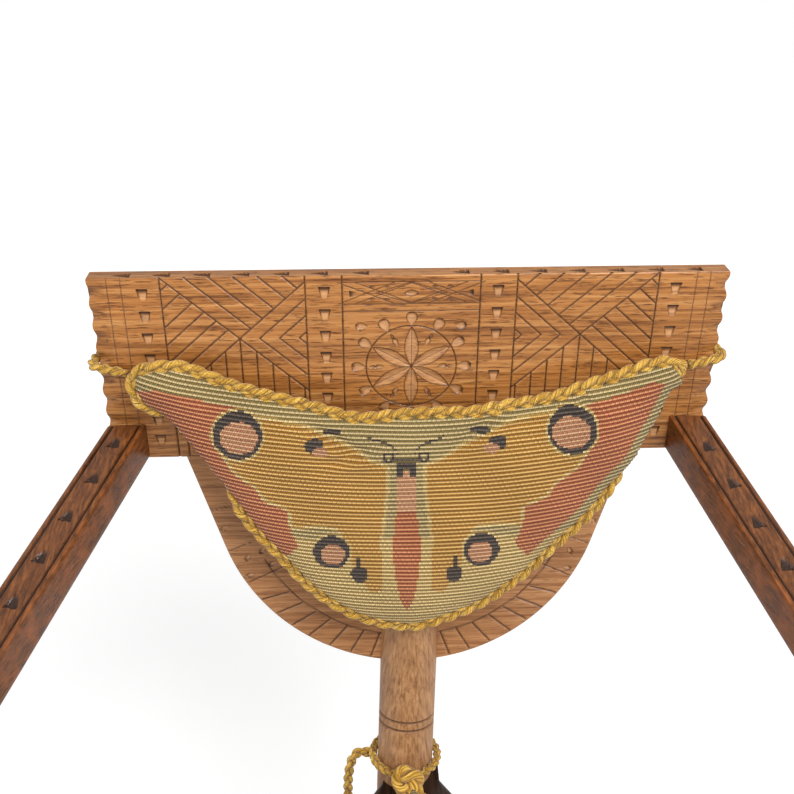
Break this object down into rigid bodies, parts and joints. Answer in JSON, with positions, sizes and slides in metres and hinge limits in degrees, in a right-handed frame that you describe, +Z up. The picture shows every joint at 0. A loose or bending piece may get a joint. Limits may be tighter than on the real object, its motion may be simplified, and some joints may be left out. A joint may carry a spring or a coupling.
{
  "type": "carved three-legged armchair with tied cushions",
  "caption": "Carved oak armchair on staked legs with a crest board, half-round back panel and needlepoint cushions tied on with braided cord.",
  "frame": {"origin": "on the floor, under the middle of the whole chair's bounding box", "axes": "+X to the right seen from the front, -Y towards the front, +Z up"},
  "size_m": [0.7555, 0.5612, 0.933],
  "materials": {
    "dark_wood": "dark stained, waxed, worn on the edges",
    "honey_oak": "waxed honey oak, chip carved",
    "pale_oak": "pale oak, dry wax",
    "needlepoint": "wool needlepoint in rows of stitches",
    "gold_cord": "braided golden cotton cord"
  },
  "bodies": {
    "root": {"seat": "dark_wood", "post_tusk": "dark_wood", "rear_leg": "dark_wood", "left_front_leg": "dark_wood", "right_front_leg": "dark_wood", "leg_wedges": "honey_oak", "back_post": "pale_oak", "back_panel": "pale_oak", "panel_pegs": "dark_wood", "crest_board": "honey_oak", "crest_pegs": "dark_wood", "left_arm": "dark_wood", "right_arm": "dark_wood", "arm_wedges": "honey_oak", "left_arm_post": "dark_wood", "right_arm_post": "dark_wood", "back_cushion": "needlepoint", "back_cushion_braid": "gold_cord", "seat_cushion": "needlepoint", "seat_cushion_braid": "gold_cord", "back_tie": "gold_cord", "left_tie_knot": "gold_cord", "right_tie_knot": "gold_cord", "post_tie": "gold_cord", "post_tie_knot": "gold_cord", "post_tie_tail": "gold_cord"}
  },
  "joints": []
}
